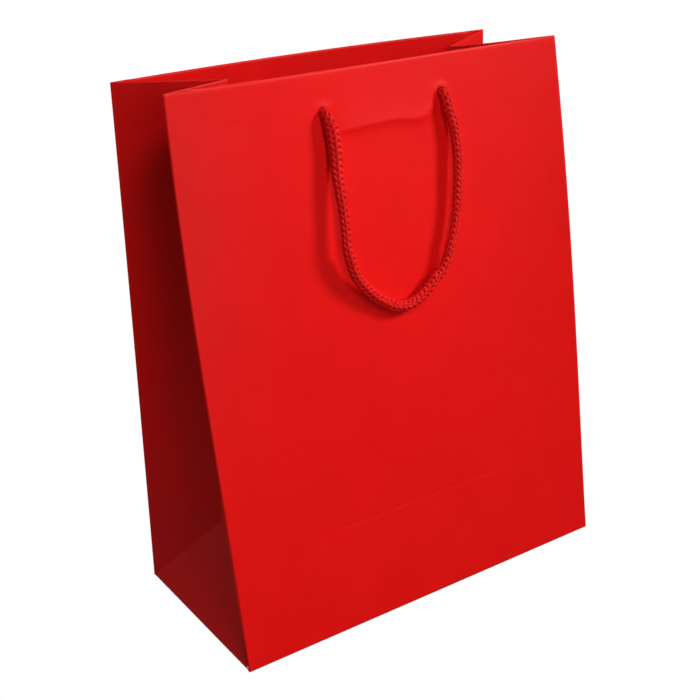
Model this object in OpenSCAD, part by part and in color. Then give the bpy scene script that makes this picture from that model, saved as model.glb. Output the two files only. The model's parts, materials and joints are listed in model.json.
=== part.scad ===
// Paper gift bag with a block bottom, folded-in side gussets and two knotted rope handles.
// X runs across the front, Y from front to back, Z up. The origin is the centre of the base, on the ground.

/* [Bag] */
// Width across the front, and height of the walls along the paper
width = 200; // [160:1:260]
// Depth of the base, front to back
depth = 100; // [80:1:130]
// Height of a wall, measured along the paper
wall_h = 250; // [200:1:320]
// Half the depth of the open mouth at the rim
mouth_half = 26.5; // [20:0.5:35]
// Inward tilt of the triangle at the foot of each side, in degrees
triangle_tilt = 20; // [14:1:24]

/* [Paper and card] */
// Thickness of the laminated paper
paper = 0.3; // [0.2:0.05:0.5]
// Thickness of the stiffening cards at the rim
rim_card = 0.8; // [0.5:0.1:1.5]
// Thickness of the loose card in the base
base_card = 1.2; // [0.8:0.1:2]
// Height of the hem that is turned inside the rim
hem_h = 35; // [25:1:45]
// Height of the stiffening cards
card_h = 26; // [20:1:34]

/* [Rope handles] */
// Diameter of the rope
rope_d = 5.5; // [4:0.5:7]
// Distance between the two holes of one handle
hole_pitch = 64; // [50:1:90]
// Distance from the rim down to the holes
hole_drop = 16; // [12:1:24]
// Distance from the outer face of the panel to the axis that a handle swings on
swing_out = 5; // [4.5:0.5:6]
// Length of the cut rope end below a knot
tail_len = 16; // [8:1:25]

/* [Hidden] */

$fn = 48;
paper_red = "#d81c1a";
rope_red = "#b81410";
board_grey = "#b9b2a5";
card_white = "#ece8df";

// Walls lean inwards from the base crease to the rim.
lean = asin((depth / 2 - mouth_half) / wall_h);
rim_z = wall_h * cos(lean);
hole_s = wall_h - hole_drop;

// Corner points of the front half of the left gusset: the corner edge runs from foot to edge_top, the
// centre crease from apex to crease_top. Both crease ends keep their paper distances from the edges.
foot = [-width / 2, -depth / 2, 0];
edge_top = [-width / 2, -mouth_half, rim_z];
apex = [-width / 2 + depth / 2 * sin(triangle_tilt), 0, depth / 2 * cos(triangle_tilt)];
rim_reach = sqrt(pow(depth / 2, 2) - pow(mouth_half, 2));
crease_len = wall_h - depth / 2;
span_x = apex[0] + width / 2;
span_z = rim_z - apex[2];
span = norm([span_x, span_z]);
along = (pow(rim_reach, 2) - pow(crease_len, 2) + pow(span, 2)) / (2 * span);
aside = sqrt(pow(rim_reach, 2) - pow(along, 2));
crease_top = [-width / 2 + (along * span_x + aside * span_z) / span, 0,
    rim_z - (along * span_z - aside * span_x) / span];

// Clearances between the panels, which turn against each other about their creases.
crease_gap = 1.2;
corner_gap_foot = 1;
corner_gap_rim = 4;
base_gap = 0.7;
side_flap_gap = 1.9;
wall_rise = 0.5;
layer_gap = 0.1;
gusset_rows = 6;
row_start = 0.012;
hem_row = 1 - hem_h / wall_h;

// Bottom flaps lie in three layers, under the base board.
flap_mitre = 45;
flap_overlap = 20;
side_flap_len = 55;
side_flap_end = 30;
board_margin = 2.5;
board_corner = 4;

// The hem and the cards stop short of the corners, where the gussets fold against the wall.
hem_half = 90;
card_half = 88;
card_drop = 1;
tab_from = 82;
tab_to = 96;
tab_rise = 3;

// Punched holes, and the rope through them.
hole_r = rope_d / 2 + 0.2;
stem_r = rope_d / 2 - 0.1;
stem_out = 1.4;
knot_ring = 0.53 * rope_d;
knot_turn = 0.48 * rope_d;
knot_core = 0.9 * rope_d;
knot_half = knot_turn + rope_d / 2;
knot_r = knot_ring + rope_d / 2;
knot_gap = 0.05;
wall_stack = 2 * paper + rim_card + 2 * layer_gap;
knot_in = wall_stack + knot_gap + knot_half;
rope_sides = 10;

// Route of the front handle on its panel: [across, height along the panel, distance out from its face].
handle_route = [[-hole_pitch / 2, hole_s, swing_out],
    [-31.4, 230, 4.7], [-30.4, 225, 4.3], [-30.2, 217, 4.2], [-31, 209, 4.6], [-31.1, 201, 5.4], [-31, 193, 6],
    [-31.2, 184, 6.5], [-31, 175, 6.6], [-28, 165, 6], [-24.8, 160, 5.3], [-21.4, 156, 4.7], [-17.4, 152, 4.1],
    [-13, 148.8, 3.7], [-8, 145.7, 3.5], [-3, 144.1, 3.4], [2, 144.3, 3.4], [6, 145.6, 3.4], [13, 150.2, 3.8],
    [18, 154.2, 4.1], [23, 159.6, 4.5], [27.6, 170.8, 4.9], [29.5, 176, 4.9], [31.2, 182, 4.8],
    [33.3, 193, 4.7], [34.6, 203, 4.6], [35, 212, 4.4], [34.6, 219, 4.3], [33.2, 225.5, 4.4], [32.4, 230, 4.7],
    [hole_pitch / 2, hole_s, swing_out]];

function lerp(a, b, k) = a + (b - a) * k;
function unit(v) = v / norm(v);

// Front wall frame: X across, Y inwards from the outer face, Z up the paper from the base crease.
module on_front() {
    translate([0, -depth / 2, 0]) rotate([-lean, 0, 0]) children();
}

module on_back() {
    rotate([0, 0, 180]) on_front() children();
}

module each_hole() {
    for (side = [-1, 1]) translate([side * hole_pitch / 2, 0, hole_s]) rotate([-90, 0, 0]) children();
}

// A flat sheet on a wall: half width, from and to heights, distance in from the outer face, thickness.
module wall_sheet(half, low, high, inset, thick) {
    difference() {
        translate([-half, inset, low]) cube([2 * half, thick, high - low]);
        each_hole() translate([0, 0, -1]) cylinder(h = wall_stack + 2, r = hole_r);
    }
}

module wall_panel() {
    wall_sheet(width / 2, wall_rise, wall_h, 0, paper);
}

module wall_card() {
    wall_sheet(card_half, wall_h - card_h, wall_h - card_drop, paper + layer_gap, rim_card);
}

module wall_hem() {
    wall_sheet(hem_half, wall_h - hem_h, wall_h, wall_stack - paper, paper);
}

// An overhand knot drawn tight against the hem: two turns of rope side by side round a core, and the stem
// that passes out through the hole.
module knot_outline() {
    for (turn = [-1, 1]) translate([knot_ring, turn * knot_turn]) circle(r = rope_d / 2);
    translate([0, -knot_core]) square([knot_ring, 2 * knot_core]);
}

module wall_knots() {
    each_hole() {
        translate([0, 0, -stem_out]) cylinder(h = knot_in + stem_out, r = stem_r);
        translate([0, 0, knot_in]) rotate_extrude() knot_outline();
    }
}

// The cut end hangs straight down from its knot and ends in a rounded tip.
module wall_tails() {
    for (side = [-1, 1]) translate([side * hole_pitch / 2, knot_in, hole_s - knot_r - layer_gap - tail_len]) {
        cylinder(h = tail_len, r = rope_d / 2);
        sphere(r = rope_d / 2);
    }
}

// Sweep of a round section along the points of a route.
function route_dir(p, i) = unit(p[min(i + 1, len(p) - 1)] - p[max(i - 1, 0)]);
function ring_side(d) = unit(cross(d, [0, 1, 0]));
function ring(p, d, r, sides) = [for (j = [0:sides - 1])
    p + r * (cos(360 * j / sides) * ring_side(d) + sin(360 * j / sides) * cross(ring_side(d), d))];

module swept_rope(points, r, sides) {
    last = len(points) - 1;
    rings = [for (i = [0:last]) each ring(points[i], route_dir(points, i), r, sides)];
    skin = [for (i = [0:last - 1]) for (j = [0:sides - 1])
        [i * sides + j, i * sides + (j + 1) % sides, (i + 1) * sides + (j + 1) % sides, (i + 1) * sides + j]];
    start = [for (j = [sides - 1:-1:0]) j];
    finish = [for (j = [0:sides - 1]) last * sides + j];
    polyhedron(points = rings, faces = concat([start], skin, [finish]), convexity = 6);
}

module wall_rope() {
    swept_rope([for (p = handle_route) [p[0], -p[2], p[1]]], rope_d / 2, rope_sides);
}

// Side gusset, front half on the left: rulings run from the corner edge to the centre crease.
function edge_at(k) = lerp(foot, edge_top, k);
function crease_at(k) = lerp(apex, crease_top, k);
function ruling(k) = unit(crease_at(k) - edge_at(k));
function outer_normal(k) = unit(cross(edge_top - foot, ruling(k)));
function row_outer(k, inset) = edge_at(k) + ruling(k) * lerp(corner_gap_foot, corner_gap_rim, k)
    - outer_normal(k) * inset;
function row_inner(k, inset) = crease_at(k) - ruling(k) * crease_gap - outer_normal(k) * inset;

// Strip of the gusset through the rows in levels, lying inset to inset + thick inside the outer face.
// Both faces of the sheet split along the same diagonals, so the strip keeps its thickness.
module gusset_strip(levels, inset, thick) {
    rows = len(levels) - 1;
    corners = [for (k = levels) each [row_outer(k, inset), row_inner(k, inset),
        row_inner(k, inset + thick), row_outer(k, inset + thick)]];
    top = 4 * rows;
    sides = [for (i = [0:rows - 1]) for (j = [0:3])
        let (a = 4 * i + j, b = 4 * i + (j + 1) % 4)
        each (j == 2 ? [[a, b, a + 4], [b, b + 4, a + 4]] : [[a, b, b + 4], [a, b + 4, a + 4]])];
    polyhedron(points = corners, faces = concat([[3, 2, 1, 0]], sides,
        [[top, top + 1, top + 2, top + 3]]), convexity = 4);
}

hem_levels = [hem_row, (1 + hem_row) / 2, 1];
side_levels = concat([for (i = [0:gusset_rows - 1]) lerp(row_start, hem_row, i / gusset_rows)], hem_levels);

module gusset_half() {
    gusset_strip(side_levels, 0, paper);
}

module gusset_hem() {
    gusset_strip(hem_levels, paper + layer_gap, paper);
}

// Triangle at the foot of the left side, hinged on the base edge.
module side_triangle() {
    translate([-width / 2, 0, 0]) rotate([0, triangle_tilt, 0]) rotate([90, 0, 90])
        linear_extrude(height = paper)
            polygon([[-depth / 2 + 2 * base_gap, wall_rise], [depth / 2 - 2 * base_gap, wall_rise],
                [0, depth / 2 - crease_gap]]);
}

// Front or back bottom flap: mitred at both ends, reaching past the middle of the base.
module long_flap(layer) {
    reach = depth / 2 + flap_overlap;
    near = width / 2 - base_gap;
    far = near - reach * tan(flap_mitre);
    translate([0, -depth / 2, layer * paper]) linear_extrude(height = paper)
        polygon([[-near, base_gap], [near, base_gap], [far, reach], [-far, reach]]);
}

module side_flap() {
    half = depth / 2 - base_gap;
    translate([-width / 2, 0, 2 * paper]) linear_extrude(height = paper)
        polygon([[side_flap_gap, -half], [side_flap_len, -side_flap_end], [side_flap_len, side_flap_end],
            [side_flap_gap, half]]);
}

module bottom_front_flap() { color(paper_red) long_flap(0); }
module bottom_back_flap() { color(paper_red) rotate([0, 0, 180]) long_flap(1); }
module bottom_left_flap() { color(paper_red) side_flap(); }
module bottom_right_flap() { color(paper_red) mirror([1, 0, 0]) side_flap(); }

module base_board() {
    half_x = width / 2 - board_margin;
    half_y = depth / 2 - board_margin;
    color(board_grey) translate([0, 0, 3 * paper]) linear_extrude(height = base_card)
        polygon([for (s = [[1, 1], [-1, 1], [-1, -1], [1, -1]]) each
            (s[0] * s[1] > 0
                ? [[s[0] * half_x, s[1] * (half_y - board_corner)], [s[0] * (half_x - board_corner), s[1] * half_y]]
                : [[s[0] * (half_x - board_corner), s[1] * half_y], [s[0] * half_x, s[1] * (half_y - board_corner)]])]);
}

module left_triangle() { color(paper_red) side_triangle(); }
module right_triangle() { color(paper_red) mirror([1, 0, 0]) side_triangle(); }

module front_panel() { color(paper_red) on_front() wall_panel(); }
module front_card() { color(card_white) on_front() wall_card(); }
module front_hem() { color(paper_red) on_front() wall_hem(); }
module front_knots() { color(rope_red) on_front() wall_knots(); }
module front_tails() { color(rope_red) on_front() wall_tails(); }
module front_rope() { color(rope_red) on_front() wall_rope(); }
module back_panel() { color(paper_red) on_back() wall_panel(); }
module back_card() { color(card_white) on_back() wall_card(); }
module back_hem() { color(paper_red) on_back() wall_hem(); }
module back_knots() { color(rope_red) on_back() wall_knots(); }
module back_tails() { color(rope_red) on_back() wall_tails(); }
module back_rope() { color(rope_red) on_back() wall_rope(); }

// The glued overlap of the sheet, inside the back wall beside the left gusset.
module side_seam_tab() {
    color(paper_red) on_back() translate([tab_from, paper, tab_rise])
        cube([tab_to - tab_from, paper, wall_h - hem_h - layer_gap - tab_rise]);
}

module left_gusset_front() { color(paper_red) gusset_half(); }
module left_hem_front() { color(paper_red) gusset_hem(); }
module right_gusset_front() { color(paper_red) mirror([1, 0, 0]) gusset_half(); }
module right_hem_front() { color(paper_red) mirror([1, 0, 0]) gusset_hem(); }
module left_gusset_back() { color(paper_red) mirror([0, 1, 0]) gusset_half(); }
module left_hem_back() { color(paper_red) mirror([0, 1, 0]) gusset_hem(); }
module right_gusset_back() { color(paper_red) rotate([0, 0, 180]) gusset_half(); }
module right_hem_back() { color(paper_red) rotate([0, 0, 180]) gusset_hem(); }

bottom_front_flap();
bottom_back_flap();
bottom_left_flap();
bottom_right_flap();
base_board();
left_triangle();
right_triangle();
front_panel();
front_card();
front_hem();
front_knots();
front_tails();
front_rope();
back_panel();
back_card();
back_hem();
back_knots();
back_tails();
back_rope();
side_seam_tab();
left_gusset_front();
left_hem_front();
right_gusset_front();
right_hem_front();
left_gusset_back();
left_hem_back();
right_gusset_back();
right_hem_back();
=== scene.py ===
"""Paper gift bag with braided rope handles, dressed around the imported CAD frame. All lengths below are
millimetres until a mesh is made; Blender itself works in metres."""
import json
import math

import bpy
import numpy as np
from mathutils import Matrix, Vector


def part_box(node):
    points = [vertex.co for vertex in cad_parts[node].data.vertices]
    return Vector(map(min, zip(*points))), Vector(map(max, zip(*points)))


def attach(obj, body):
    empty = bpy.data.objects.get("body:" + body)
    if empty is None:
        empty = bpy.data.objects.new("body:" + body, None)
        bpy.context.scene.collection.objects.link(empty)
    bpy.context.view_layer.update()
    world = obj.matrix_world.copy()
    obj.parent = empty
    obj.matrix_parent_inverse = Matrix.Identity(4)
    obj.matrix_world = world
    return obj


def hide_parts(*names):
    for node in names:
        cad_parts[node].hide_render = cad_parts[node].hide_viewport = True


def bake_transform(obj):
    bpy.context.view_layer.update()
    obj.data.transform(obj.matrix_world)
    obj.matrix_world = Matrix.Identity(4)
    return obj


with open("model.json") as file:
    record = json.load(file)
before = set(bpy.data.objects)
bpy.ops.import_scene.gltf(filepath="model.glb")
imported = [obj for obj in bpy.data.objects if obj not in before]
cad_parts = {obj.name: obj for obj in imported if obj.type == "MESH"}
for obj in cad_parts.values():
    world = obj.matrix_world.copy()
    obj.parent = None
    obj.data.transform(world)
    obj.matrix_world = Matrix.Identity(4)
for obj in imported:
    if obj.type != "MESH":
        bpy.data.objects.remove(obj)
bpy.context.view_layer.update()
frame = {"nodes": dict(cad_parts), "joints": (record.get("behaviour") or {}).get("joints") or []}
joints = {j["name"]: j for j in frame["joints"]}

# ---------------------------------------------------------------- sizes, from the frame
MM = 1000.0
panel_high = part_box("front_panel")[1] * MM
HALF_W = panel_high.x
HALF_D = -joints["front_wall_tilt"]["pos_m"][1] * MM
fold_axis = joints["left_gusset_front_fold"]["axis"]
LEAN = math.atan2(-fold_axis[1], -fold_axis[2])
WALL_H = panel_high.z / math.cos(LEAN)
RIM_HALF = HALF_D - WALL_H * math.sin(LEAN)
TRIANGLE_TILT = math.radians(20)

PAPER = 0.3
STACK = 1.6            # panel, card and hem together at the rim
RIM_THIN = 0.35        # radius of the rim's fold where it holds no card
HEM = 35.0
FOLD_R = 2 * RIM_THIN  # outer radius of a folded corner
HOLE_X, HOLE_S, HOLE_R = 32.0, 233.2, 2.6
BLOCK = 6.0            # half the square of mesh round a hole
ROPE_R = 2.75
BRAID_R = 3.0          # the braid's pattern is laid out at this radius, then scaled
BACKDROP_R = 12.0      # metres, inside the camera's clipping distance


# ---------------------------------------------------------------- camera
def make_camera():
    """The photograph's viewpoint: from the front left and above, rolled a little."""
    data = bpy.data.cameras.new("camera")
    data.lens, data.sensor_width = 60.04, 36.0
    data.shift_x, data.shift_y = 0.0279, -0.0503
    data.clip_start, data.clip_end = 0.01, 20.0
    camera = bpy.data.objects.new("camera", data)
    bpy.context.scene.collection.objects.link(camera)
    right = Vector((0.84082, -0.53756, -0.06368)).normalized()
    ahead = Vector((0.48977, 0.80557, -0.33346)).normalized()
    up = right.cross(ahead).normalized()
    right = ahead.cross(up)
    rotation = Matrix((right, up, -ahead)).transposed()
    camera.matrix_world = Matrix.Translation(Vector((-283.35, -439.5, 314.13)) / MM) @ rotation.to_4x4()
    bpy.context.scene.camera = camera


# ---------------------------------------------------------------- places on the bag
def on_wall(across, out, up, side=1):
    """A point of a wall: across, out from its outer face, and up the paper from its base crease.
    side 1 is the front wall, -1 the back wall, which is the front one turned half round."""
    across, out, up = np.broadcast_arrays(*[np.asarray(a, float) for a in (across, out, up)])
    y = -HALF_D + up * math.sin(LEAN) - out * math.cos(LEAN)
    z = up * math.cos(LEAN) + out * math.sin(LEAN)
    return np.stack([across * side, y * side, z], axis=-1)


def in_wall(vector, side=1):
    """A world direction as across, out and up of a wall."""
    x, y, z = vector[..., 0] * side, vector[..., 1] * side, vector[..., 2]
    out = -y * math.cos(LEAN) + z * math.sin(LEAN)
    return np.stack([x, out, y * math.sin(LEAN) + z * math.cos(LEAN)], axis=-1)


def outward_of(side):
    """World direction in which a wall's printed face looks."""
    return on_wall(0, 1, 0, side) - on_wall(0, 0, 0, side)


def foot_height(tilt, layer):
    """Where a face that leans in by tilt starts, above the fold round its base edge and the paper below."""
    return (FOLD_R * (1 + math.sin(tilt)) + layer) / math.cos(tilt)


def flap_start(tilt, layer):
    """How far in from the base edge the flap under such a face starts."""
    return foot_height(tilt, layer) * math.sin(tilt) + FOLD_R * math.cos(tilt)


def smooth(t):
    t = np.clip(t, 0.0, 1.0)
    return t * t * (3 - 2 * t)


def unit(v):
    return v / np.linalg.norm(v, axis=-1, keepdims=True)


def waves(x, y, seed, wavelength, count=7):
    """Smooth random undulation of about unit height, the same on every run."""
    rng = np.random.default_rng(seed)
    total = 0.0
    for _ in range(count):
        angle, phase = rng.uniform(0, math.tau), rng.uniform(0, math.tau)
        scale = rng.uniform(0.7, 1.5)
        k = math.tau / (wavelength * scale)
        total = total + np.sin(k * (x * math.cos(angle) + y * math.sin(angle)) + phase)
    return total / math.sqrt(count)


def spaced(start, *stops):
    """Positions from start on, at about each stop's step up to its value."""
    out = [start]
    for value, step in stops:
        count = max(1, int(round(abs(value - out[-1]) / step)))
        out += list(np.linspace(out[-1], value, count + 1)[1:])
    return np.array(out)


# The centre crease of the left side runs from the apex of its triangle to the rim, and the right mirrors it.
APEX = np.array([-HALF_W + HALF_D * math.sin(TRIANGLE_TILT), 0.0, HALF_D * math.cos(TRIANGLE_TILT)])


def crease_top():
    """Rim end of the crease: half a side's width from the corner, and the crease's length from the apex."""
    rim, low = np.array([-HALF_W, panel_high.z]), APEX[[0, 2]]
    gap = np.linalg.norm(rim - low)
    reach, length = math.sqrt(HALF_D ** 2 - RIM_HALF ** 2), WALL_H - HALF_D
    along = (reach ** 2 - length ** 2 + gap ** 2) / (2 * gap)
    aside = math.sqrt(reach ** 2 - along ** 2)
    back = (low - rim) / gap
    x, z = rim + along * back + aside * np.array([-back[1], back[0]])
    return np.array([x, 0.0, z])


PROUD = (-1.7, 0, 1.6)   # the rim's end of the crease stands this far out of its flat place
CREASE_TOP = crease_top() + PROUD

# Bow of a wall's side edge, by wall side and hand: its depth out of the wall's plane, and the power of the
# height's share that places it, where a larger power puts the deepest point higher up.
EDGE_BOW = {
    (1, -1): (-3.4, 1.8), (1, 1): (2.3, 1.35),
    (-1, -1): (-2.6, 1.35), (-1, 1): (-0.6, 1.35)}


def edge_bow(s, side, hand):
    """How far a wall's side edge stands out of the wall's plane at paper height s."""
    depth, power = EDGE_BOW[side, hand]
    return depth * np.sin(math.pi * np.clip(s / WALL_H, 0, 1) ** power)


# Line of the kink under the rim card, which the handle has pulled in: across, and up the wall.
KINK = (
    (-30, -14, 4, 13, 18, 22, 25, 28, 30),
    (224.4, 224.8, 225.3, 224.2, 222.9, 223.6, 225.6, 229, 231))


def kink_relief(x, s, side):
    """The kink, which fades slowly above its line and fast below it, and on the front wall the slanting pinch
    where it turns up beside the right hole."""
    over = s - np.interp(x, *KINK)
    fade = np.where(over > 0, np.exp(-over / 9), np.exp(over / 2.2))
    kink = (0.9 if side > 0 else 0.4) * fade * smooth((x + 30) / 12) * smooth((30 - x) / 5)
    off_line = (s - 223) - 0.62 * (x - 18)
    pinch = 0.4 * np.exp(-(off_line / 0.7) ** 2) * smooth((x - 17) / 3) * smooth((28 - x) / 3)
    return kink + (pinch if side > 0 else 0.0)


def stored_flat_lines(x, s):
    """Lines pressed in while the bag was stored flat: one across, HALF_D up the wall, and the mitres that run
    down and out from its ends."""
    scored = -0.10 * np.exp(-((s - HALF_D) / 0.7) ** 2) * smooth((52 - np.abs(x)) / 8)
    slant = np.abs(x) + s - 2 * HALF_D + 3
    mitre = -0.07 * np.exp(-(slant / 0.9) ** 2) * smooth((s - 8) / 8) * smooth((52 - s) / 6)
    return scored, mitre


def wall_relief(x, s, side):
    """How far a wall's face stands out of its plane: the bow of the rim, drawn-in side edges, the cockle of
    thin board, lines pressed in while the bag was stored flat, and the kink that the handle has pulled."""
    x, s = np.broadcast_arrays(np.asarray(x, float), np.asarray(s, float))
    across, up = np.clip(1 - (x / HALF_W) ** 2, 0, 1), np.clip(s / WALL_H, 0, 1)
    bow = (1.0 - 7.0 * x / HALF_W if side > 0 else 5.0) * across * smooth((s - 40) / (WALL_H - 40))
    edges = np.where(x < 0, edge_bow(s, side, -1), edge_bow(s, side, 1)) * (1 - across) ** 2
    cockle = 0.16 * across * np.sin(math.pi * up) * waves(x, s, 5 if side > 0 else 8, 75)
    hole = np.hypot(np.abs(x) - HOLE_X, s - HOLE_S)
    lip = 0.35 * np.exp(-((hole - HOLE_R - 0.5) / 1.1) ** 2) * smooth((s - HOLE_S + 1) / 3)
    scored, mitre = stored_flat_lines(x, s)
    ding = -0.35 * np.exp(-(((x + 74) / 2.2) ** 2 + ((s - 234) / 1.6) ** 2)) if side > 0 else 0.0
    return bow + edges + cockle + kink_relief(x, s, side) + lip + scored + mitre + ding


def side_line(s, side, hand):
    """Where a gusset's row at paper height s ends: on the side's centre crease, or lower on its diagonal."""
    s = np.asarray(s, float)
    across = hand * side
    k = np.clip((s - HALF_D) / (WALL_H - HALF_D), 0, 1)[..., None]
    crease = APEX + (CREASE_TOP - APEX) * k
    share = np.clip(s / HALF_D, 0, 1)[..., None]
    foot = np.array([-HALF_W, -HALF_D * side, 0.0])
    line = np.where(s[..., None] < HALF_D, foot + (APEX - foot) * share, crease)
    return line * np.array([-across, 1.0, 1.0])


def fold_sweep(s, side, hand):
    """How far round the corner fold turns at paper height s, from the wall's face to the gusset's."""
    s = np.maximum(np.asarray(s, float), 2.0)
    corner = on_wall(hand * HALF_W, edge_bow(s, side, hand), s, side)
    reach = in_wall(side_line(s, side, hand) - corner, side)
    return math.pi - np.arctan2(-reach[..., 1], -hand * reach[..., 0])


def corner_fold(s, turn, side, hand):
    """Points on a corner fold: turn is 0 where the wall's face ends, fold_sweep where the gusset starts."""
    base = wall_relief(hand * (HALF_W - FOLD_R), s, side)
    across = hand * (HALF_W - FOLD_R + FOLD_R * np.sin(turn))
    return on_wall(across, base - FOLD_R * (1 - np.cos(turn)), s, side)


# ---------------------------------------------------------------- meshes
def new_object(name, verts_mm, faces, materials, kinds=None, hard=()):
    """A mesh object from millimetre points. kinds is each face's material, and faces of the hard kinds are
    flat with sharp edges round them."""
    mesh = bpy.data.meshes.new(name)
    mesh.from_pydata((np.asarray(verts_mm) / MM).tolist(), [], faces)
    for look in materials:
        mesh.materials.append(look)
    soft = np.ones(len(faces), bool)
    if kinds is not None:
        kinds = np.asarray(kinds, np.int32)
        mesh.polygons.foreach_set("material_index", np.minimum(kinds, len(materials) - 1).astype(np.int32))
        soft = ~np.isin(kinds, hard)
    mesh.polygons.foreach_set("use_smooth", soft)
    if not soft.all():
        sizes, edges = np.zeros(len(faces), np.int32), np.zeros(len(mesh.loops), np.int32)
        mesh.polygons.foreach_get("loop_total", sizes)
        mesh.loops.foreach_get("edge_index", edges)
        sharp = np.zeros(len(mesh.edges), bool)
        sharp[edges[np.repeat(~soft, sizes)]] = True
        mesh.attributes.new("sharp_edge", "BOOLEAN", "EDGE").data.foreach_set("value", sharp)
    mesh.update()
    thing = bpy.data.objects.new(name, mesh)
    bpy.context.scene.collection.objects.link(thing)
    return thing


def grid_faces(rows, cols, skip=None):
    index = np.arange(rows * cols).reshape(rows, cols)
    return [[int(index[i, j]), int(index[i + 1, j]), int(index[i + 1, j + 1]), int(index[i, j + 1])]
            for i in range(rows - 1) for j in range(cols - 1) if skip is None or not skip[i, j]]


def weld(verts, faces, extra, within=0.004):
    """Points that coincide become one, and faces that have shrunk to a line go."""
    keys = np.round(np.asarray(verts) / within).astype(np.int64)
    _, first, where = np.unique(keys, axis=0, return_index=True, return_inverse=True)
    where = where.reshape(-1)
    kept = []
    for face in faces:
        loop = []
        for v in face:
            w = int(where[v])
            if not loop or (w != loop[-1] and w != loop[0]):
                loop.append(w)
        if len(set(loop)) == len(loop) >= 3:
            kept.append(loop)
    return np.asarray(verts)[first], kept, [np.asarray(e)[first] for e in extra]


def sheet_normals(verts, faces):
    total = np.zeros_like(verts)
    for face in faces:
        a, b, c = verts[face[0]], verts[face[1]], verts[face[2]]
        d = verts[face[3]] if len(face) > 3 else a
        n = np.cross(c - a, d - b) if len(face) > 3 else np.cross(b - a, c - a)
        for v in face:
            total[v] += n
    return unit(total + 1e-12)


PRINTED, PLAIN, CUT, CREASED = 0, 1, 2, 3


def paper(name, outer, faces, toward, body, stands_for, thick=PAPER, fold=None, cut=None, looks=None):
    """A closed sheet from the points of its printed face. toward is roughly where that face looks. Its edge
    is printed colour where the sheet carries on round a fold, and bare paper at the points marked in cut."""
    outer = np.asarray(outer, float).reshape(-1, 3)
    fold = np.zeros(len(outer)) if fold is None else np.asarray(fold, float).reshape(-1)
    cut = np.zeros(len(outer), bool) if cut is None else np.broadcast_to(np.asarray(cut), (len(outer),))
    outer, faces, (fold, cut) = weld(outer, faces, [fold, cut])
    normal = sheet_normals(outer, faces)
    if np.sum(normal @ np.asarray(toward, float)) < 0:
        faces, normal = [f[::-1] for f in faces], -normal
    count = len(outer)
    inner = outer - normal * thick
    edges = {(f[i], f[(i + 1) % len(f)]) for f in faces for i in range(len(f))}
    all_faces = [list(f) for f in faces] + [[v + count for v in f[::-1]] for f in faces]
    kinds = [PRINTED] * len(faces) + [PLAIN] * len(faces)
    for a, b in sorted(edges):
        if (b, a) not in edges:
            all_faces.append([b, a, a + count, b + count])
            kinds.append(CUT if cut[a] and cut[b] else CREASED)
    looks = looks or PAPER_LOOK
    thing = new_object(name, np.vstack([outer, inner]), all_faces, looks, kinds, hard=(CUT, CREASED))
    layer = thing.data.attributes.new("fold", "FLOAT", "POINT")
    layer.data.foreach_set("value", np.concatenate([fold, np.zeros(count)]).astype(np.float32))
    if isinstance(body, str):
        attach(thing, body)
    else:
        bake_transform(thing)
    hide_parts(stands_for)
    return thing


def punched(grid, x_lines, s_lines, place):
    """Faces of a wall grid with its two rope holes: a square block of cells gives way to rings of points that
    close in on the hole. Returns points, faces and which points are on a hole's edge."""
    rows, cols = grid.shape[:2]
    verts, index = list(grid.reshape(-1, 3)), np.arange(rows * cols).reshape(rows, cols)
    skip = np.zeros((rows - 1, cols - 1), bool)
    rings, faces = [], []
    for hand in (-1, 1):
        j0, j1 = [int(np.argmin(abs(x_lines - v))) for v in (hand * HOLE_X - BLOCK, hand * HOLE_X + BLOCK)]
        i0, i1 = [int(np.argmin(abs(s_lines - v))) for v in (HOLE_S - BLOCK, HOLE_S + BLOCK)]
        skip[i0:i1, j0:j1] = True
        walk = ([(i0, j) for j in range(j0, j1)] + [(i, j1) for i in range(i0, i1)]
                + [(i1, j) for j in range(j1, j0, -1)] + [(i, j0) for i in range(i1, i0, -1)])
        around = [int(index[i, j]) for i, j in walk]
        square = np.array([[x_lines[j], s_lines[i]] for i, j in walk])
        middle = np.array([hand * HOLE_X, HOLE_S])
        circle = middle + HOLE_R * unit(square - middle)
        previous = around
        for share in (0.4, 0.72, 0.9, 1.0):
            at = square + (circle - square) * share
            points = place(at[:, 0], at[:, 1])
            current = list(range(len(verts), len(verts) + len(points)))
            verts += list(points)
            for a in range(len(around)):
                b = (a + 1) % len(around)
                faces.append([previous[a], current[a], current[b], previous[b]])
            previous = current
        rings += previous
    on_edge = np.zeros(len(verts), bool)
    on_edge[rings] = True
    return np.array(verts), grid_faces(rows, cols, skip) + faces, on_edge


# ---------------------------------------------------------------- materials
def material(name):
    made = bpy.data.materials.new(name)
    made.use_nodes = True
    nodes, links = made.node_tree.nodes, made.node_tree.links
    return made, nodes, links, nodes["Principled BSDF"]


def node(nodes, kind, **values):
    made = nodes.new(kind)
    for key, value in values.items():
        if key in made.inputs:
            made.inputs[key].default_value = value
        else:
            setattr(made, key, value)
    return made


def ramp(nodes, stops):
    made = nodes.new("ShaderNodeValToRGB")
    elements = made.color_ramp.elements
    while len(elements) < len(stops):
        elements.new(0.5)
    for element, (place, colour) in zip(elements, stops):
        element.position = place
        element.color = (*colour, 1.0)
    return made


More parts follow.
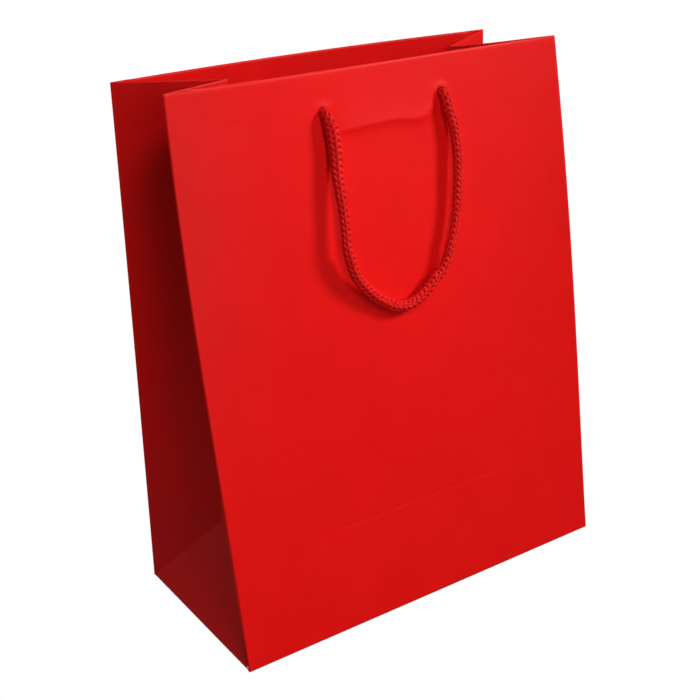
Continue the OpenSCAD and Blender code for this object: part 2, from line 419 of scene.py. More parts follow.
def laminated_red():
    """Printed art paper under a matte film: even red, faint mottle, film texture, and paler where the fold
    attribute marks it: wear along the foot folds, and a painted highlight along the front's rims, corner
    edges and hole lips.
    """
    made, nodes, links, shader = material("laminated_red")
    place = node(nodes, "ShaderNodeTexCoord")
    mottle = node(nodes, "ShaderNodeTexNoise", Scale=38.0, Detail=4.0, Roughness=0.6)
    links.new(place.outputs["Object"], mottle.inputs["Vector"])
    red = ramp(nodes, [(0.3, (0.735, 0.0030, 0.0022)), (0.7, (0.775, 0.0040, 0.0030))])
    links.new(mottle.outputs["Fac"], red.inputs["Fac"])
    # The fold attribute, broken into patches by noise, mixes in a pale pinkish red: wear along the foot
    # folds, and a painted highlight along the front's rims, corner edges and hole lips.
    crease = node(nodes, "ShaderNodeAttribute", attribute_name="fold")
    mark_patches = node(nodes, "ShaderNodeTexNoise", Scale=900.0, Detail=3.0, Roughness=0.7)
    links.new(place.outputs["Object"], mark_patches.inputs["Vector"])
    wear_and_highlight_mask = node(nodes, "ShaderNodeMath", operation="MULTIPLY")
    links.new(crease.outputs["Fac"], wear_and_highlight_mask.inputs[0])
    links.new(mark_patches.outputs["Fac"], wear_and_highlight_mask.inputs[1])
    wear_and_highlight = node(nodes, "ShaderNodeMix", data_type="RGBA")
    wear_and_highlight.inputs["B"].default_value = (0.86, 0.05, 0.035, 1.0)
    links.new(wear_and_highlight_mask.outputs[0], wear_and_highlight.inputs["Factor"])
    links.new(red.outputs["Color"], wear_and_highlight.inputs["A"])
    links.new(wear_and_highlight.outputs["Result"], shader.inputs["Base Color"])
    film = node(nodes, "ShaderNodeTexNoise", Scale=2600.0, Detail=2.0)
    pulp = node(nodes, "ShaderNodeTexNoise", Scale=260.0, Detail=5.0, Roughness=0.65)
    for texture in (film, pulp):
        links.new(place.outputs["Object"], texture.inputs["Vector"])
    fine = node(nodes, "ShaderNodeBump", Strength=0.12, Distance=0.00002)
    coarse = node(nodes, "ShaderNodeBump", Strength=0.10, Distance=0.0001)
    links.new(film.outputs["Fac"], fine.inputs["Height"])
    links.new(pulp.outputs["Fac"], coarse.inputs["Height"])
    links.new(coarse.outputs["Normal"], fine.inputs["Normal"])
    links.new(fine.outputs["Normal"], shader.inputs["Normal"])
    gloss = ramp(nodes, [(0.25, (0.44,) * 3), (0.75, (0.52,) * 3)])
    links.new(pulp.outputs["Fac"], gloss.inputs["Fac"])
    links.new(gloss.outputs["Color"], shader.inputs["Roughness"])
    shader.inputs["Specular IOR Level"].default_value = 0.16
    return made


def fibre(name, dark, light, scale, rough):
    """Uncoated paper or board: pale, matte, with long fibres and specks."""
    made, nodes, links, shader = material(name)
    place = node(nodes, "ShaderNodeTexCoord")
    stretch = node(nodes, "ShaderNodeMapping")
    stretch.inputs["Scale"].default_value = (1.0, 1.0, 0.25)
    links.new(place.outputs["Object"], stretch.inputs["Vector"])
    fibres = node(nodes, "ShaderNodeTexNoise", Scale=scale, Detail=6.0, Roughness=0.7, Distortion=0.6)
    links.new(stretch.outputs["Vector"], fibres.inputs["Vector"])
    tone = ramp(nodes, [(0.3, dark), (0.65, light)])
    links.new(fibres.outputs["Fac"], tone.inputs["Fac"])
    links.new(tone.outputs["Color"], shader.inputs["Base Color"])
    bump = node(nodes, "ShaderNodeBump", Strength=0.25, Distance=0.00008)
    links.new(fibres.outputs["Fac"], bump.inputs["Height"])
    links.new(bump.outputs["Normal"], shader.inputs["Normal"])
    shader.inputs["Roughness"].default_value = rough
    return made


def yarn(name, dark, light, rough):
    """Twisted red filament yarn: fine threads along each strand, and painted shade that darkens the strands'
    sides and the core between them.
    """
    made, nodes, links, shader = material(name)
    along = node(nodes, "ShaderNodeUVMap", uv_map="strand")
    threads = node(nodes, "ShaderNodeTexWave", Scale=1.0, Distortion=1.5, Detail=2.0)
    threads.bands_direction = "Y"
    links.new(along.outputs["UV"], threads.inputs["Vector"])
    place = node(nodes, "ShaderNodeTexCoord")
    fuzz = node(nodes, "ShaderNodeTexNoise", Scale=1500.0, Detail=3.0, Roughness=0.7)
    links.new(place.outputs["Object"], fuzz.inputs["Vector"])
    # The relief attribute runs from low points to strand crowns; the ramp paints shade from dark at low
    # points to full red on the crowns.
    depth = node(nodes, "ShaderNodeAttribute", attribute_name="relief")
    tone = ramp(nodes, [(0.0, dark), (1.0, light)])
    links.new(depth.outputs["Fac"], tone.inputs["Fac"])
    vary = node(nodes, "ShaderNodeMix", data_type="RGBA", blend_type="MULTIPLY")
    vary.inputs["Factor"].default_value = 0.08
    links.new(tone.outputs["Color"], vary.inputs["A"])
    links.new(fuzz.outputs["Fac"], vary.inputs["B"])
    links.new(vary.outputs["Result"], shader.inputs["Base Color"])
    thread_bump = node(nodes, "ShaderNodeBump", Strength=0.5, Distance=0.0001)
    fuzz_bump = node(nodes, "ShaderNodeBump", Strength=0.35, Distance=0.0001)
    links.new(threads.outputs["Fac"], thread_bump.inputs["Height"])
    links.new(fuzz.outputs["Fac"], fuzz_bump.inputs["Height"])
    links.new(thread_bump.outputs["Normal"], fuzz_bump.inputs["Normal"])
    links.new(fuzz_bump.outputs["Normal"], shader.inputs["Normal"])
    shader.inputs["Roughness"].default_value = rough
    shader.inputs["Specular IOR Level"].default_value = 0.2
    return made


RED = laminated_red()
LINER = fibre("paper_liner", (0.72, 0.71, 0.68), (0.84, 0.83, 0.80), 220.0, 0.9)
CORE = fibre("paper_core", (0.70, 0.62, 0.60), (0.84, 0.76, 0.74), 900.0, 0.9)
WHITE_CARD = fibre("white_card", (0.66, 0.64, 0.59), (0.80, 0.78, 0.73), 160.0, 0.9)
GREY_BOARD = fibre("grey_board", (0.30, 0.28, 0.25), (0.46, 0.43, 0.38), 140.0, 0.95)
# The dark colour is painted shade for the gaps and the core between strands; the light one is the yarn's red.
ROPE = yarn("rope_yarn", (0.2, 0.001, 0.0008), (0.84, 0.004, 0.003), 0.55)
PAPER_LOOK = [RED, LINER, CORE, RED]


# ---------------------------------------------------------------- braided rope
STRANDS = 8            # each way round
LAY = 21.0             # one turn of a strand along the rope
FLOATS = 4             # times that a strand rises and dips in one turn
MEAN_R, WAVE = 1.98, 0.46
STRAND_W, STRAND_T = 1.70, 1.14
ANY_SIDE = (0.31, 0.83, 0.47)   # where a braid's first column looks when it doesn't matter


def resample(points, step):
    """Centripetal curve through the route's points, at even steps along it."""
    points = np.asarray(points, float)
    ghost = np.vstack([2 * points[0] - points[1], points, 2 * points[-1] - points[-2]])
    fine = []
    for a, b, c, d in zip(ghost, ghost[1:], ghost[2:], ghost[3:]):
        t = np.linspace(0, 1, 24, endpoint=False)[:, None]
        fine.append(0.5 * (2 * b + (c - a) * t + (2 * a - 5 * b + 4 * c - d) * t ** 2
                           + (3 * b - a - 3 * c + d) * t ** 3))
    fine = np.vstack(fine + [points[-1:]])
    run = np.concatenate([[0], np.cumsum(np.linalg.norm(np.diff(fine, axis=0), axis=1))])
    at = np.linspace(0, run[-1], max(3, int(round(run[-1] / step)) + 1))
    return np.stack([np.interp(at, run, fine[:, i]) for i in range(3)], axis=1), at


def frames(line, facing=ANY_SIDE):
    """Two side directions along a line, carried without twist from its middle, where the first of them looks
    along facing."""
    tangent = unit(np.gradient(line, axis=0))
    sides, middle = np.zeros_like(line), len(line) // 2
    for order in (range(middle, len(line)), range(middle, -1, -1)):
        side = np.asarray(facing, float)
        for i in order:
            side = side - tangent[i] * (side @ tangent[i])
            side = side / np.linalg.norm(side)
            sides[i] = side
    return sides, np.cross(tangent, sides)


def tube(line, radius, sides):
    """Points and faces of a closed round tube along a line; radius may vary along it."""
    u, v = frames(line)
    angle = np.arange(sides) * math.tau / sides
    radius = np.broadcast_to(np.asarray(radius, float), len(line))[:, None, None]
    ring = line[:, None] + radius * (np.cos(angle)[None, :, None] * u[:, None]
                                     + np.sin(angle)[None, :, None] * v[:, None])
    return ring.reshape(-1, 3), tube_faces(len(line), sides)


def tube_faces(rings, sides):
    faces = []
    for i in range(rings - 1):
        for j in range(sides):
            k = (j + 1) % sides
            faces.append([i * sides + j, i * sides + k, (i + 1) * sides + k, (i + 1) * sides + j])
    faces.append(list(range(sides))[::-1])
    faces.append([(rings - 1) * sides + j for j in range(sides)])
    return faces


def braid(points, step=0.85, size=1.0, facing=ANY_SIDE, bare_end=False):
    """Sixteen strands, eight each way, two over and two under, round a core. Returns points, faces, and the
    relief and thread coordinates that the yarn material reads."""
    line, run = resample(points, step)
    u, v = frames(line, facing)
    verts, faces, relief, thread = [], [], [], []
    sides = 7
    section = np.arange(sides) * math.tau / sides
    taper = np.interp(run / run[-1], np.linspace(0, 1, np.size(size)), np.atleast_1d(size))
    if bare_end:
        taper = taper * np.sqrt(np.clip((run[-1] - run) / (0.8 * ROPE_R), 0.04, 1.0))
    for hand in (1, -1):
        for i in range(STRANDS):
            turn = hand * (math.tau * run / LAY) + math.tau * i / STRANDS
            lift = np.tanh(1.9 * np.sin(FLOATS * turn)) / math.tanh(1.9)
            radius = (MEAN_R + hand * WAVE * lift) * taper
            out = np.cos(turn)[:, None] * u + np.sin(turn)[:, None] * v
            centre = line + radius[:, None] * out
            ahead = unit(np.gradient(centre, axis=0))
            flat = unit(np.cross(ahead, out))
            rise = np.cross(flat, ahead)
            ring = centre[:, None] + taper[:, None, None] * (
                0.5 * STRAND_W * np.cos(section)[None, :, None] * flat[:, None]
                + 0.5 * STRAND_T * np.sin(section)[None, :, None] * rise[:, None])
            base = sum(len(x) for x in verts)
            verts.append(ring.reshape(-1, 3))
            faces += [[base + n for n in f] for f in tube_faces(len(line), sides)]
            # Height above the core, scaled so that strand sides and lower strands read low; the yarn material
            # paints these darker as shade.
            height = np.linalg.norm(ring - line[:, None], axis=2) / (BRAID_R * taper[:, None])
            relief.append(np.clip((height - 0.56) / 0.26, 0, 1).reshape(-1))
            thread.append(np.stack([np.repeat(run * 1.2, sides), np.tile(section * 1.6, len(run))], axis=1))
    core, core_faces = tube(line, (MEAN_R - 0.25) * taper, 10)
    base = sum(len(x) for x in verts)
    verts.append(core)
    faces += [[base + n for n in f] for f in core_faces]
    # The core has no height, so the yarn material paints it in the darkest shade where it shows between
    # strands.
    relief.append(np.zeros(len(core)))
    thread.append(np.zeros((len(core), 2)))
    return np.vstack(verts), faces, np.concatenate(relief), np.vstack(thread)


def rope_object(name, parts):
    """One mesh of one or more braids."""
    verts, faces, relief, thread, base = [], [], [], [], 0
    for v, f, r, t in parts:
        verts.append(v)
        faces += [[base + n for n in loop] for loop in f]
        relief.append(r)
        thread.append(t)
        base += len(v)
    thing = new_object(name, np.vstack(verts), faces, [ROPE])
    mesh = thing.data
    mesh.attributes.new("relief", "FLOAT", "POINT").data.foreach_set(
        "value", np.concatenate(relief).astype(np.float32))
    loops = np.zeros(len(mesh.loops), np.int32)
    mesh.loops.foreach_get("vertex_index", loops)
    mesh.uv_layers.new(name="strand").data.foreach_set(
        "uv", np.vstack(thread)[loops].astype(np.float32).ravel())
    return thing


# Route of a handle on its wall: across, up the wall, out from its face, and the rope's width there: the soft
# braid is drawn thin where it is pulled, and squeezed in its holes. It stays within 2 mm of the CAD route's
# distance from the wall.
HANDLE_ROUTE = [
    [-32, 233.2, -1.4, 4.5], [-32, 233.2, 0.5, 4.5], [-31.9, 232.8, 1.7, 4.6], [-31.6, 231, 2.8, 5.0],
    [-31, 228.6, 3.2, 5.7], [-30.4, 225, 3.3, 6.2], [-30.2, 217, 3.6, 6.2], [-31, 209, 4.3, 5.6],
    [-31.1, 201, 5.2, 5.1], [-31, 193, 5.9, 4.5], [-31.2, 184, 6.5, 4.3], [-31.3, 176.5, 6.6, 4.4],
    [-30.2, 172.5, 6.2, 5.1], [-28, 165, 5.4, 5.1], [-24.8, 160, 4.6, 5.2], [-21.4, 156, 4, 5.3],
    [-17.4, 152, 3.5, 5.3], [-13, 148.8, 3.1, 5.4], [-8, 145.7, 2.9, 5.5], [-3, 144.1, 2.9, 5.5],
    [2, 144.3, 2.9, 5.4], [6, 145.6, 3.1, 5.3], [13, 150.2, 3.7, 5.2], [16.4, 153.6, 4, 5.3],
    [18.8, 154.4, 4.1, 4.9], [23, 159.6, 4.5, 4.8], [27.6, 170.8, 4.9, 4.5], [29.5, 176, 4.9, 4.5],
    [31.2, 182, 4.8, 4.6], [33.3, 193, 4.7, 4.8], [34.6, 203, 4.6, 4.9], [35, 212, 4.1, 5.2],
    [34.6, 219, 3.6, 5.5], [33.2, 225.5, 3.3, 5.4], [32.4, 229.8, 3.1, 5.2], [32.1, 231.6, 2.6, 4.8],
    [32, 232.9, 1.6, 4.6], [32, 233.2, 0.5, 4.5], [32, 233.2, -1.4, 4.5]]
VIEW_SIDE = -0.6      # the braid's columns are turned a little to the bag's left
KNOT_R, KNOT_DEPTH, KNOT_TURNS, KNOT_ROPE = 4.5, (8.2, 2.8), 1.5, 0.82
TAIL_LENGTH = 17.0


def knot_route(hand):
    """Across, up and in from a hole's middle: in along the stem, then KNOT_TURNS back round it, ending on
    its way down. It stands for an overhand knot, and isn't tied through itself."""
    stem = [[0, 0, -1.2], [0, 0, 1.5], [0, 0, 4.5], [0.5, 0, 7.2], [2.6, 0.2, 9.2]]
    turn = np.linspace(0.12, 1, 22)
    angle = math.tau * KNOT_TURNS * turn
    depth = KNOT_DEPTH[0] + (KNOT_DEPTH[1] - KNOT_DEPTH[0]) * turn
    coil = np.stack([KNOT_R * np.cos(angle), KNOT_R * np.sin(angle), depth], axis=1)
    return np.vstack([stem, coil]) * [-hand, 1, 1]


def make_ropes():
    for side, where in ((1, "front"), (-1, "back")):
        wall, handle = f"{where}_wall", f"{where}_handle"
        path = np.array(HANDLE_ROUTE, float)
        lift = wall_relief(path[:, 0], path[:, 1], side)
        world = on_wall(path[:, 0], path[:, 2] + lift, path[:, 1], side)
        along = np.concatenate([[0], np.cumsum(np.linalg.norm(np.diff(world, axis=0), axis=1))])
        width = np.interp(np.linspace(0, along[-1], 160), along, path[:, 3]) / (2 * BRAID_R)
        facing = outward_of(side) + side * np.array([VIEW_SIDE, 0, 0])
        rope = rope_object(f"{where}_rope_braid", [braid(world, size=width, facing=facing)])
        knots, tails = [], []
        for hand in (-1, 1):
            stand = wall_relief(hand * HOLE_X, HOLE_S, side)
            knot = knot_route(hand)
            line = on_wall(hand * HOLE_X + knot[:, 0], stand - STACK - knot[:, 2], HOLE_S + knot[:, 1], side)
            knots.append(braid(line, step=0.7, size=KNOT_ROPE))
            drop = np.linspace(-1.0, TAIL_LENGTH, 8)
            depth = knot[-1, 2] + 0.8 * np.sin(drop / TAIL_LENGTH * math.pi)
            line = on_wall(hand * HOLE_X + knot[-1, 0] + 0.05 * hand * drop, stand - STACK - depth,
                           HOLE_S + knot[-1, 1] - drop, side)
            tails.append(braid(line, step=0.7, size=0.88, bare_end=True))
        knot_piece = rope_object(f"{where}_knots_braid", knots)
        tail_piece = rope_object(f"{where}_tails_braid", tails)
        for piece, stands_for in ((knot_piece, f"{where}_knots"), (tail_piece, f"{where}_tails")):
            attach(piece, wall)
            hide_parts(stands_for)
        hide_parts(f"{where}_rope")
        line, run = resample(world, 2.0)
        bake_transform(rope)


# ---------------------------------------------------------------- walls
CARD_HALF, CARD_LOW, CARD_HIGH = 88.0, WALL_H - 26.0, WALL_H - 1.2
CARD = 0.8


def rim_radius(x):
    """Half the thickness of what the rim folds over: the card, or past its ends the paper alone."""
    return RIM_THIN + (STACK / 2 - RIM_THIN) * smooth((CARD_HALF + 4.5 - np.abs(x)) / 4)


def wall_x_lines(edge):
    return spaced(-edge, (-90, 1.4), (-HOLE_X - BLOCK, 2.6), (-HOLE_X + BLOCK, 1.5), (HOLE_X - BLOCK, 2.6),
                  (HOLE_X + BLOCK, 1.5), (90, 2.6), (edge, 1.4))


def wall_sheet(side, where):
    """One large face of the bag, with its folded side edges and the folds over the rim and at the foot."""
    layer = 0.0 if side > 0 else PAPER
    foot = foot_height(LEAN, layer)
    x_flat = wall_x_lines(HALF_W - FOLD_R)
    turns = np.linspace(0, 1, 8)[1:]
    under = np.linspace(0, math.pi / 2 + LEAN, 6)[:0:-1]
    over = np.linspace(0, math.pi, 10)[1:]
    s_flat = spaced(foot, (8, 1.2), (47, 2.8), (53, 0.5), (200, 2.8), (218, 1.4), (HOLE_S - BLOCK, 0.7),
                    (HOLE_S + BLOCK, 1.2), (WALL_H - 1.6, 1.6))
    rows = [("under", foot, b) for b in under] + [("flat", s, 0.0) for s in s_flat]
    rows += [("over", WALL_H, 0.0)] + [("over", WALL_H, t) for t in over]
    grid, creases = [], []
    for kind, s, turn in rows:
        relief_s = min(s, WALL_H)
        inward = turn if kind == "over" else 0.0
        sweep = {h: float(fold_sweep(relief_s, side, h)) for h in (-1, 1)}
        a = np.concatenate([turns[::-1] * sweep[-1], np.zeros(len(x_flat)), turns * sweep[1]])
        hand = np.sign(np.concatenate([-np.ones(len(turns)), x_flat, np.ones(len(turns))]))
        x = np.concatenate([np.full(len(turns), x_flat[0]), x_flat, np.full(len(turns), x_flat[-1])])
        base = wall_relief(x, relief_s, side)
        b = np.where(a > 0, np.minimum(turn, math.pi / 2), turn) if kind == "under" else 0.0
        across = x + hand * FOLD_R * np.sin(a) * np.cos(b)
        out = base - FOLD_R + FOLD_R * np.cos(a) * np.cos(b)
        up = np.full(len(x), float(relief_s)) - FOLD_R * np.sin(b)
        if kind == "over":
            radius = rim_radius(x)
            depth = radius * (1 - np.cos(inward))
            across = across - hand * np.sin(a) * depth
            out = out - np.cos(a) * depth
            up = WALL_H - radius + radius * np.sin(inward)
        grid.append(on_wall(across, out, up, side))
        # Fold marks on the printed face: a painted highlight on the front wall only, along its corner edges,
        # the turn over the rim and the top rows, where light catches the rounded paper; wear along the fold
        # at the foot of both walls.
        near = np.exp(-np.maximum(0, HALF_W - 0.35 - np.abs(across)) / 0.45) * (a < 1.6)
        wear_and_highlight = 0.22 * near + (0.6 if kind == "over" else 0.0) * (np.asarray(inward) < 2.2)
        wear_and_highlight = wear_and_highlight + 0.25 * np.exp(-np.maximum(0, WALL_H - 1.2 - up) / 0.5)
        share = 0.5 if side > 0 else 0.0
        creases.append(np.clip(share * wear_and_highlight + (0.4 if kind == "under" else 0.0), 0, 1))
    grid, creases = np.array(grid), np.array(creases)
    x_lines = np.concatenate([np.full(len(turns), -999.0), x_flat, np.full(len(turns), 999.0)])
    s_lines = np.array([s if kind == "flat" else -999.0 for kind, s, _ in rows])
    verts, faces, on_edge = punched(grid, x_lines, s_lines,
                                    lambda x, s: on_wall(x, wall_relief(x, s, side), s, side))
    fold = np.concatenate([creases.ravel(), np.zeros(len(verts) - creases.size)])
    # The holes' edges are paler on both walls: a painted highlight on the lip above each hole, and worn paper
    # at the cut edge.
    fold[on_edge] = 0.5
    paper(f"{where}_panel_sheet", verts, faces, outward_of(side), f"{where}_wall", f"{where}_panel",
          fold=fold, cut=on_edge)


def wall_hem(side, where):
    """The turned-in rim: it lies on the card, and against the panel beyond the card's ends and below it."""
    x = wall_x_lines(HALF_W - FOLD_R)
    s = spaced(WALL_H - HEM, (HOLE_S - BLOCK, 1.2), (HOLE_S + BLOCK, 1.5), (WALL_H - 2, 1.5), (WALL_H, 2))

    def place(x, s):
        radius = rim_radius(x)
        height = np.where(s >= WALL_H - 1, WALL_H - radius, s)
        thin = 2 * RIM_THIN
        depth = thin + (2 * radius - thin) * smooth((height - CARD_LOW + 5) / 4.5)
        return on_wall(x, wall_relief(x, height, side) - depth, height, side)

    xx, ss = np.meshgrid(x, s)
    verts, faces, on_edge = punched(place(xx, ss), x, s, place)
    low = np.zeros(len(verts), bool)
    low[:len(x)] = True
    inward = on_wall(0, -1, 0, side) - on_wall(0, 0, 0, side)
    paper(f"{where}_hem_sheet", verts, faces, inward, f"{where}_wall", f"{where}_hem", cut=on_edge | low)


def wall_card(side, where):
    """The stiffening card between panel and hem."""
    x = spaced(-CARD_HALF, (-HOLE_X - BLOCK, 3.2), (-HOLE_X + BLOCK, 1.5), (HOLE_X - BLOCK, 3.2),
               (HOLE_X + BLOCK, 1.5), (CARD_HALF, 3.2))
    s = spaced(CARD_LOW, (HOLE_S - BLOCK, 1.4), (HOLE_S + BLOCK, 1.5), (CARD_HIGH, 1.6))

    def place(x, s):
        return on_wall(x, wall_relief(x, s, side) - PAPER - 0.1, s, side)

    xx, ss = np.meshgrid(x, s)
    verts, faces, _ = punched(place(xx, ss), x, s, place)
    paper(f"{where}_rim_card_sheet", verts, faces, outward_of(side), f"{where}_wall", f"{where}_card",
          thick=CARD, looks=[WHITE_CARD])


TAB_FROM, TAB_TO, TAB_SLANT = 82, 96, 18   # across the back wall, and how high its foot is cut aslant


def seam_tab():
    """The glued overlap of the sheet, inside the back wall beside a corner."""
    x = spaced(TAB_FROM, (TAB_TO, 2.8))
    s = spaced(3, (WALL_H - HEM - 0.1, 3.0))
    xx, ss = np.meshgrid(x, s)
    skew = np.where(ss < TAB_SLANT, (TAB_SLANT - ss) * 0.5, 0) * (xx - TAB_FROM) / (TAB_TO - TAB_FROM)
    verts = on_wall(xx - skew, wall_relief(xx - skew, ss, -1) - PAPER - 0.02, ss, -1)
    paper("side_seam_tab_sheet", verts, grid_faces(len(s), len(x)), outward_of(-1), "back_wall",
          "side_seam_tab", cut=True)


# ---------------------------------------------------------------- sides
CREASE_R = 0.5
TUCK = 3.5              # the right gusset's front half hangs toward the front panel at its rim
GUSSET_BAND = ((0, 0, -0.164), (0, 0, 0.274))   # heights passed on with a gusset's wall and name as its body, which paper doesn't use: it attaches only a body given as one name, and leaves a gusset fixed where it is drawn


def gusset_grid(side, hand):
    """Points of half a gusset on its printed face: rows up the paper, columns from the corner fold to the
    crease. It ends on the bag's middle plane, square to it, so at rest the two halves make one fold."""
    columns = spaced(0, (0.08, 0.02), (0.92, 0.045), (1, 0.02))
    s_lines = spaced(0.9, (6, 0.85), (HALF_D, 2.2), (200, 2.6), (WALL_H - 1.2, 2.2),
                     (WALL_H - RIM_THIN, 0.9))
    rows = []
    for s in s_lines:
        start = corner_fold(s, float(fold_sweep(s, side, hand)), side, hand)
        goal = side_line(s, side, hand)
        flat = goal[:2] - start[:2]
        angle = math.atan2(abs(flat[0]), abs(flat[1]))
        sign = np.array([np.sign(flat[0]), np.sign(flat[1]), 1.0])
        bend = np.linspace(-angle, 0, 6)
        arc = goal + sign * np.stack(
            [CREASE_R * (np.cos(bend) - 1), CREASE_R * np.sin(bend), 0 * bend], axis=1)
        share = smooth((s - HALF_D + 1) / 3)
        stop = goal - unit(goal - start) * CREASE_R
        line_end = arc[0] * share + stop * (1 - share)
        tail = arc * share + (stop + (goal - stop) * np.linspace(0, 1, 6)[:, None]) * (1 - share)
        t = columns[:, None]
        rows.append(np.vstack([start + (line_end - start) * t, tail[1:]]))
    grid = np.array(rows)
    t = np.concatenate([columns, np.ones(5)])[None, :]
    up = (s_lines / WALL_H)[:, None]
    reach = np.linalg.norm(grid[:, -1] - grid[:, 0], axis=1)[:, None] / HALF_D
    normal = outward_normals(grid, side, hand)
    seed = 20 + 2 * side + hand
    tuck = TUCK if (side, hand) == (1, 1) else 0.0
    cockle = waves(t * 50, up * WALL_H, seed, 60)
    swell = (1.6 * np.sin(math.pi * t) * np.sin(math.pi * up ** 1.2)
             + tuck * np.sin(math.pi * t) * smooth((up - 0.6) / 0.4)
             + 0.22 * np.sin(math.pi * t) * cockle * np.sin(math.pi * up)) * reach
    return grid - normal * swell[..., None], s_lines


def outward_normals(grid, side, hand):
    normal = unit(np.cross(np.gradient(grid, axis=0), np.gradient(grid, axis=1)))
    outward = np.array([hand * side, 0, 0])
    return normal if np.sum(normal @ outward) > 0 else -normal


def gusset(side, hand, where):
    """Half a gusset with its rim turned over, and its hem inside."""
    left = hand * side < 0
    name = f"{'left' if left else 'right'}_gusset_{where}"
    hem_name = f"{'left' if left else 'right'}_hem_{where}"
    outward = np.array([hand * side, 0.0, 0.0])
    grid, s_lines = gusset_grid(side, hand)
    normal = outward_normals(grid, side, hand)
    rise = unit(np.gradient(grid, axis=0))[-1]
    turned = [grid[-1] + rise * RIM_THIN * math.sin(a) - normal[-1] * RIM_THIN * (1 - math.cos(a))
              for a in np.linspace(0, math.pi, 8)[1:]]
    sheet = np.concatenate([grid, np.array(turned)])
    rows, cols = sheet.shape[:2]
    # Fold marks: a painted highlight along the rim's turn, strong on the front halves and faint on the back
    # halves; paler along the corner fold and beside the diagonal on every half, as wear.
    wear_and_highlight = np.zeros((rows, cols))
    wear_and_highlight[:, 0] = 0.15
    wear_and_highlight[len(s_lines) - 1:-2, :] = 0.8 if side > 0 else 0.1
    diagonal = s_lines < HALF_D + 1
    wear_and_highlight[:len(s_lines)][diagonal, -5:] = 0.12
    band = (f"{where}_wall", name, *GUSSET_BAND)
    paper(name + "_sheet", sheet, grid_faces(rows, cols), outward, band, name, fold=wear_and_highlight)
    low = int(np.argmin(abs(s_lines - (WALL_H - HEM))))
    inside = grid[low:] - normal[low:] * (2 * RIM_THIN)
    cut = np.zeros(inside.shape[:2], bool)
    cut[0] = True
    paper(hem_name + "_sheet", inside, grid_faces(*inside.shape[:2]), -outward, band, hem_name,
          cut=cut.ravel())


SPREAD = 0.8            # the weight on the base edge of a side presses it out


def triangle(across):
    """The triangle at the foot of a side, from the fold at the base edge up to its apex."""
    name = "left_triangle" if across < 0 else "right_triangle"
    tilt = TRIANGLE_TILT
    foot = foot_height(tilt, 2 * PAPER)
    under = np.linspace(0, math.pi / 2 + tilt, 7)[:0:-1]
    heights = spaced(foot, (4, 0.8), (46, 2.0), (HALF_D, 0.8))
    share = spaced(-1, (-0.9, 0.03), (0.9, 0.08), (1, 0.03))
    rows, wear_and_highlight = [], []
    for kind, h, turn in [("under", foot, b) for b in under] + [("flat", h, 0.0) for h in heights]:
        half = HALF_D - max(h, FOLD_R)
        y = share * half
        out = -FOLD_R * (1 - math.cos(turn)) + 0 * y
        up = h - FOLD_R * math.sin(turn) + 0 * y
        if kind == "flat":
            out = out + 0.35 * (1 - share ** 2) * math.sin(math.pi * min(h / HALF_D, 1))
        out = out + SPREAD * (1 - smooth(h / 14))
        x = HALF_W + out * math.cos(tilt) - up * math.sin(tilt)
        z = up * math.cos(tilt) + out * math.sin(tilt)
        rows.append(np.stack([across * x, y, z], axis=1))
        near = np.exp(-(1 - np.abs(share)) * half / 0.7) * 0.12
        wear_and_highlight.append(near + (0.4 if kind == "under" else 0.3 * math.exp(-(h - foot) / 0.6)))
    grid = np.array(rows)
    paper(name + "_sheet", grid, grid_faces(*grid.shape[:2]), (across, 0, 0), name, name,
          fold=np.array(wear_and_highlight))


FLAP_OVER = 20         # how far the front and back flaps reach past the middle
END_FLAP = (55, 30)    # reach of a left or right flap, and half its width there
FLAP_GAP = 0.02        # air between the layers of the base


def bottom_flap(where, grid):
    """One flap, folded in at its first row and cut along the rest of its edge."""
    cut = np.ones(grid.shape[:2], bool)
    cut[0] = False
    paper(f"bottom_{where}_flap_sheet", grid, grid_faces(*grid.shape[:2]), (0, 0, -1), "base",
          f"bottom_{where}_flap", thick=PAPER - FLAP_GAP, cut=cut.ravel())


def bottom_flaps():
    """The four flaps that close the base, in three layers, with their printed faces down."""
    for side, where, layer in ((1, "front", 0), (-1, "back", 1)):
        reach = spaced(flap_start(LEAN, layer * PAPER), (4, 1), (HALF_D + FLAP_OVER, 6))
        yy, share = np.meshgrid(reach, np.linspace(-1, 1, 25), indexing="ij")
        half = HALF_W - np.maximum(yy, FOLD_R)
        y = (-HALF_D + yy) * side
        bottom_flap(where, np.stack([share * half * side, y, 0 * yy + layer * PAPER], axis=-1))
    length, end_half = END_FLAP
    for across, where in ((-1, "left"), (1, "right")):
        reach = spaced(flap_start(TRIANGLE_TILT, 2 * PAPER), (4, 1), (length, 5))
        xx, share = np.meshgrid(reach, np.linspace(-1, 1, 17), indexing="ij")
        half = np.interp(xx, [0, length], [HALF_D - FOLD_R, end_half])
        bottom_flap(where, np.stack([across * (HALF_W - xx), share * half, 0 * xx + 2 * PAPER], axis=-1))


# ---------------------------------------------------------------- stage
def staged(name, verts, faces):
    """A plain white object of the stage, that glows evenly and takes no light."""
    mesh = bpy.data.meshes.new(name)
    mesh.from_pydata(verts, [], faces)
    thing = bpy.data.objects.new(name, mesh)
    bpy.context.scene.collection.objects.link(thing)
    made, _, _, shader = material(name + "_white")
    shader.inputs["Base Color"].default_value = (0, 0, 0, 1)
    shader.inputs["Specular IOR Level"].default_value = 0.0
    shader.inputs["Emission Color"].default_value = (1, 1, 1, 1)
    shader.inputs["Emission Strength"].default_value = 1.0
    mesh.materials.append(made)
    thing.visible_diffuse = thing.visible_glossy = False
    return thing


def make_stage():
    """A wide floor just under the bag."""
    h = 30
    floor = staged("floor", [(-h, -h, 0), (h, -h, 0), (h, h, 0), (-h, h, 0)], [[0, 1, 2, 3]])
    floor.location.z = -0.0002


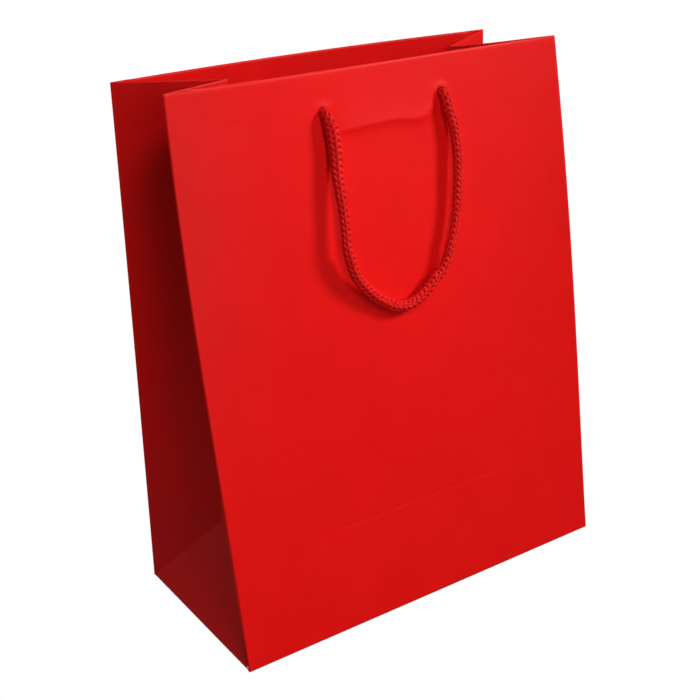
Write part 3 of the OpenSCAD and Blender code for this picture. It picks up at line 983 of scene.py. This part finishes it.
def make_backdrop():
    """A white shell far round the scene, seen only by the camera."""
    rings, sides = 16, 48
    lat = np.linspace(-0.05, math.pi / 2, rings)[:, None]
    lon = np.linspace(0, math.tau, sides, endpoint=False)[None, :]
    x, y = BACKDROP_R * np.cos(lat) * np.cos(lon), BACKDROP_R * np.cos(lat) * np.sin(lon)
    verts = np.stack([x, y, BACKDROP_R * np.sin(lat) + 0 * lon], axis=-1).reshape(-1, 3)
    faces = [[i * sides + j, i * sides + (j + 1) % sides,
              (i + 1) * sides + (j + 1) % sides, (i + 1) * sides + j]
             for i in range(rings - 1) for j in range(sides)]
    shell = staged("backdrop", verts.tolist(), faces)
    shell.visible_transmission = shell.visible_shadow = False


# Area lights: name, place, what it looks at, size in metres, power in watts.
LIGHTS = [
    ("key", (2.17, -1.52, 1.53), (0, 0, 0.12), 0.7, 70),
    ("near", (-0.12, -0.45, 0.24), (-0.05, 0, 0.16), 0.25, 0.55),
    ("high", (-0.12, -0.78, 0.85), (-0.04, 0, 0.17), 0.3, 3.2),
    ("left", (-1.35, 0.75, 0.7), (-0.1, 0, 0.08), 0.6, 4),
    ("top", (0.3, 0.6, 3.0), (0, 0, 0), 1.5, 6),
    ("back", (0.45, 1.3, 0.2), (0, 0, 0.12), 0.6, 14)]


def area_light(name, place, aim, size, power):
    data = bpy.data.lights.new(name, "AREA")
    data.energy, data.size, data.size_y, data.shape = power, size, size, "RECTANGLE"
    light = bpy.data.objects.new(name, data)
    bpy.context.scene.collection.objects.link(light)
    light.location = place
    light.rotation_euler = (Vector(aim) - Vector(place)).to_track_quat("-Z", "Y").to_euler()


def make_lights():
    for light in LIGHTS:
        area_light(*light)
    world = bpy.data.worlds.new("studio")
    bpy.context.scene.world = world
    world.use_nodes = True
    nodes, links = world.node_tree.nodes, world.node_tree.links
    place = node(nodes, "ShaderNodeTexCoord")
    split = node(nodes, "ShaderNodeSeparateXYZ")
    links.new(place.outputs["Generated"], split.inputs[0])
    height = node(nodes, "ShaderNodeMapRange")
    height.inputs["From Min"].default_value = -1.0
    links.new(split.outputs["Z"], height.inputs["Value"])
    tone = ramp(nodes, [(0.35, (0.12,) * 3), (0.6, (0.045,) * 3)])
    links.new(height.outputs["Result"], tone.inputs["Fac"])
    links.new(tone.outputs["Color"], nodes["Background"].inputs["Color"])
    settings = bpy.context.scene.view_settings
    settings.view_transform, settings.look = "Standard", "None"


# ---------------------------------------------------------------- the whole
make_camera()
make_ropes()
for wall_side, wall_name in ((1, "front"), (-1, "back")):
    wall_sheet(wall_side, wall_name)
    wall_card(wall_side, wall_name)
    wall_hem(wall_side, wall_name)
    for wall_hand in (-1, 1):
        gusset(wall_side, wall_hand, wall_name)
seam_tab()
for triangle_hand in (-1, 1):
    triangle(triangle_hand)
bottom_flaps()
frame["nodes"]["base_board"].data.materials.clear()
frame["nodes"]["base_board"].data.materials.append(GREY_BOARD)
make_stage()
make_backdrop()
make_lights()
